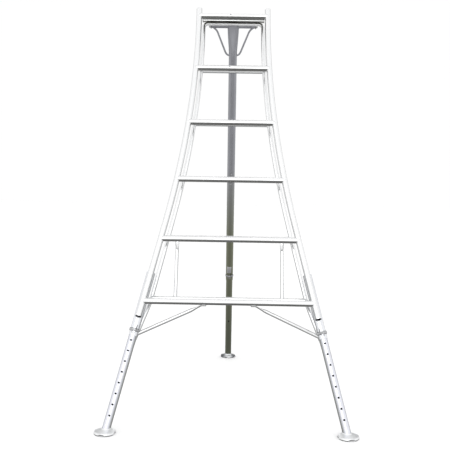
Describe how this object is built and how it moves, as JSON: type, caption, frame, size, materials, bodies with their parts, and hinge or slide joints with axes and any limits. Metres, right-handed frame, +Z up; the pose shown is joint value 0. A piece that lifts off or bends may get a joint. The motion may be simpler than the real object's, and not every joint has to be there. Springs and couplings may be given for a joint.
{
  "type": "tripod orchard ladder",
  "caption": "Three-legged aluminium step ladder with double tube treads, a top platform, a hinged rear prop leg and pin-locked telescopic legs on clawed feet.",
  "frame": {"origin": "on the ground, midway between the front feet and the rear foot, on the ladder's centre line", "axes": "+X to the climber's right as they face the treads, +Y from the climber towards the rear leg, +Z up"},
  "size_m": [1.1964, 1.5794, 2.0792],
  "materials": {
    "frame_aluminium": "satin mill finish drawn tube",
    "leg_aluminium": "satin mill finish drawn tube",
    "rear_leg_aluminium": "satin mill finish drawn tube",
    "pressed_aluminium": "pressed, slightly matt",
    "spring_steel": "bright zinc plated",
    "cap_plastic": "moulded"
  },
  "bodies": {
    "front_frame": {"front_stile_left": "frame_aluminium", "front_stile_right": "frame_aluminium", "rear_stile_left": "frame_aluminium", "rear_stile_right": "frame_aluminium", "stile_cap_left": "cap_plastic", "stile_cap_right": "cap_plastic", "leg_sleeve_left": "frame_aluminium", "leg_sleeve_right": "frame_aluminium", "strut_left": "frame_aluminium", "strut_right": "frame_aluminium", "diagonal_brace_left": "frame_aluminium", "diagonal_brace_right": "frame_aluminium", "pivot_lug_left": "frame_aluminium", "pivot_lug_right": "frame_aluminium", "rear_top_tube": "frame_aluminium", "platform_plate": "frame_aluminium", "pivot_rod": "spring_steel", "front_rung_top": "frame_aluminium", "rung_rivet_1": "spring_steel", "rung_rivet_2": "spring_steel", "front_rung_1": "frame_aluminium", "rear_rung_1": "frame_aluminium", "tread_spacer_1_left": "frame_aluminium", "tread_spacer_1_right": "frame_aluminium", "front_rung_2": "frame_aluminium", "rear_rung_2": "frame_aluminium", "tread_spacer_2_left": "frame_aluminium", "tread_spacer_2_right": "frame_aluminium", "front_rung_3": "frame_aluminium", "rear_rung_3": "frame_aluminium", "tread_spacer_3_left": "frame_aluminium", "tread_spacer_3_right": "frame_aluminium", "front_rung_4": "frame_aluminium", "rear_rung_4": "frame_aluminium", "tread_spacer_4_left": "frame_aluminium", "tread_spacer_4_right": "frame_aluminium", "front_rung_5": "frame_aluminium", "rear_rung_5": "frame_aluminium", "tread_spacer_5_left": "frame_aluminium", "tread_spacer_5_right": "frame_aluminium"},
    "front_leg_left": {"front_leg_left": "leg_aluminium", "foot_left": "pressed_aluminium"},
    "front_leg_right": {"front_leg_right": "leg_aluminium", "foot_right": "pressed_aluminium"},
    "lock_left": {"lock_band_left": "spring_steel", "lock_pin_left": "spring_steel"},
    "lock_right": {"lock_band_right": "spring_steel", "lock_pin_right": "spring_steel"},
    "rear_leg": {"rear_leg_upper": "rear_leg_aluminium", "rear_cross_tube": "rear_leg_aluminium", "rear_tie_left": "rear_leg_aluminium", "rear_tie_right": "rear_leg_aluminium"},
    "rear_leg_extension": {"rear_leg_lower": "rear_leg_aluminium", "foot_rear": "pressed_aluminium"},
    "lock_rear": {"lock_band_rear": "spring_steel", "lock_pin_rear": "spring_steel"}
  },
  "joints": [
    {"name": "front_leg_left_slide", "type": "slide", "parent": "front_frame", "child": "front_leg_left", "axis": [-0.2283, -0.3008, -0.9259], "range_m": [-0.35, 0.1]},
    {"name": "lock_left_pull", "type": "slide", "parent": "front_frame", "child": "lock_left", "axis": [0, -0.9511, 0.309], "range_m": [0, 0.012], "stiffness_N_per_m": 400},
    {"name": "front_leg_right_slide", "type": "slide", "parent": "front_frame", "child": "front_leg_right", "axis": [0.2283, -0.3008, -0.9259], "range_m": [-0.35, 0.1]},
    {"name": "lock_right_pull", "type": "slide", "parent": "front_frame", "child": "lock_right", "axis": [0, -0.9511, 0.309], "range_m": [0, 0.012], "stiffness_N_per_m": 400},
    {"name": "rear_leg_fold", "type": "hinge", "parent": "front_frame", "child": "rear_leg", "pos_m": [0, -0.01387, 2.00408], "axis": [-1, 0, 0], "range_deg": [0, 36]},
    {"name": "rear_leg_slide", "type": "slide", "parent": "rear_leg", "child": "rear_leg_extension", "axis": [0, 0.3526, -0.9358], "range_m": [-0.45, 0.15]},
    {"name": "lock_rear_pull", "type": "slide", "parent": "rear_leg", "child": "lock_rear", "axis": [0, -0.9358, -0.3526], "range_m": [0, 0.012], "stiffness_N_per_m": 400}
  ]
}
